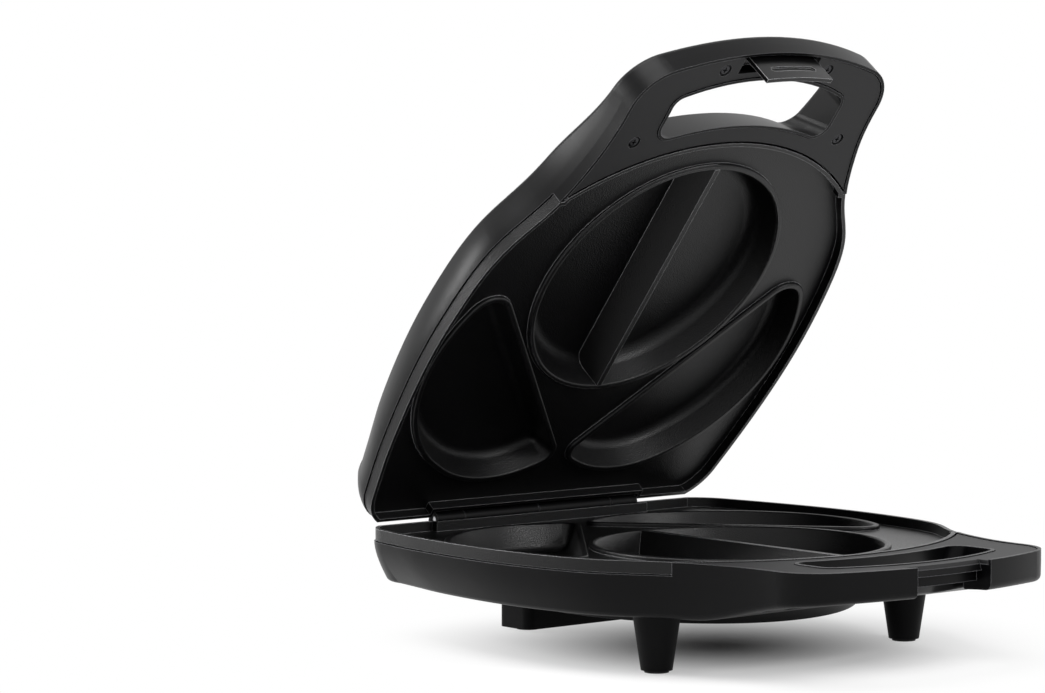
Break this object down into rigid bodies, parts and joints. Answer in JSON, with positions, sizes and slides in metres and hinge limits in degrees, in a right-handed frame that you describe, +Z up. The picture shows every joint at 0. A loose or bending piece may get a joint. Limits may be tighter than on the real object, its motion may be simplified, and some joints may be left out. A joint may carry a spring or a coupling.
{
  "type": "electric omelette maker",
  "caption": "Countertop omelette maker: two hinged oval plastic halves with paired non-stick plates of shaped pans, open handles and a swinging front latch, standing open on short legs.",
  "frame": {"origin": "on the surface it stands on, under the middle of the maker's outer box as it stands open", "axes": "+X to its right across the hinge line, +Y from the handle towards the hinge, +Z up"},
  "size_m": [0.225, 0.2858, 0.2655],
  "materials": {
    "shell_black": "satin black moulded plastic",
    "cover_grey": "fine matt dark grey moulded plastic",
    "plate_coating": "aluminium under a matt near-black non-stick coating with a fine grain",
    "plain_steel": "bare steel",
    "dark_screw": "black oxide steel",
    "latch_black": "matt black plastic",
    "foot_black": "matt black heat-proof plastic",
    "pad_rubber": "dull dark rubber",
    "red_lens": "translucent red",
    "green_lens": "translucent green",
    "lamp_glass": "clear glass",
    "holder_white": "off-white plastic",
    "terminal_cream": "cream heat-proof plastic",
    "element_sheath": "dull metal sheath",
    "lead_sleeve": "woven glass sleeve",
    "fuse_metal": "plain metal"
  },
  "bodies": {
    "base": {"base_shell": "shell_black", "base_handle_cover": "cover_grey", "lower_plate": "plate_coating", "lower_heating_element": "element_sheath", "lower_element_clamps": "plain_steel", "lower_clamp_screws": "plain_steel", "lower_plate_screws": "plain_steel", "base_cover_screws": "dark_screw", "front_leg_left": "foot_black", "front_leg_right": "foot_black", "rear_foot": "foot_black", "foot_pads": "pad_rubber", "foot_screws": "plain_steel", "cord_inlet": "foot_black", "terminal_block": "terminal_cream", "thermal_fuse": "fuse_metal", "fuse_clip": "plain_steel", "base_leads": "lead_sleeve", "hinge_pin": "plain_steel"},
    "lid": {"lid_shell": "shell_black", "lid_handle_cover": "cover_grey", "upper_plate": "plate_coating", "upper_heating_element": "element_sheath", "upper_element_clamps": "plain_steel", "upper_clamp_screws": "plain_steel", "upper_plate_screws": "plain_steel", "lid_cover_screws": "dark_screw", "red_lens": "red_lens", "green_lens": "green_lens", "lamp_holder": "holder_white", "indicator_lamps": "lamp_glass", "thermostat": "fuse_metal", "lid_leads": "lead_sleeve", "latch_pin": "plain_steel", "latch_spring": "plain_steel"},
    "latch": {"latch_hook": "latch_black"}
  },
  "joints": [
    {"name": "lid_hinge", "type": "hinge", "parent": "base", "child": "lid", "pos_m": [0, 0.12323, 0.0493], "axis": [-1, 0, 0], "range_deg": [-51.34, 48.66]},
    {"name": "latch_pivot", "type": "hinge", "parent": "lid", "child": "latch", "pos_m": [0, -0.03429, 0.2574], "axis": [-1, 0, 0], "range_deg": [0, 11], "stiffness_Nm_per_rad": 0.3, "springref_deg": -20.05}
  ]
}
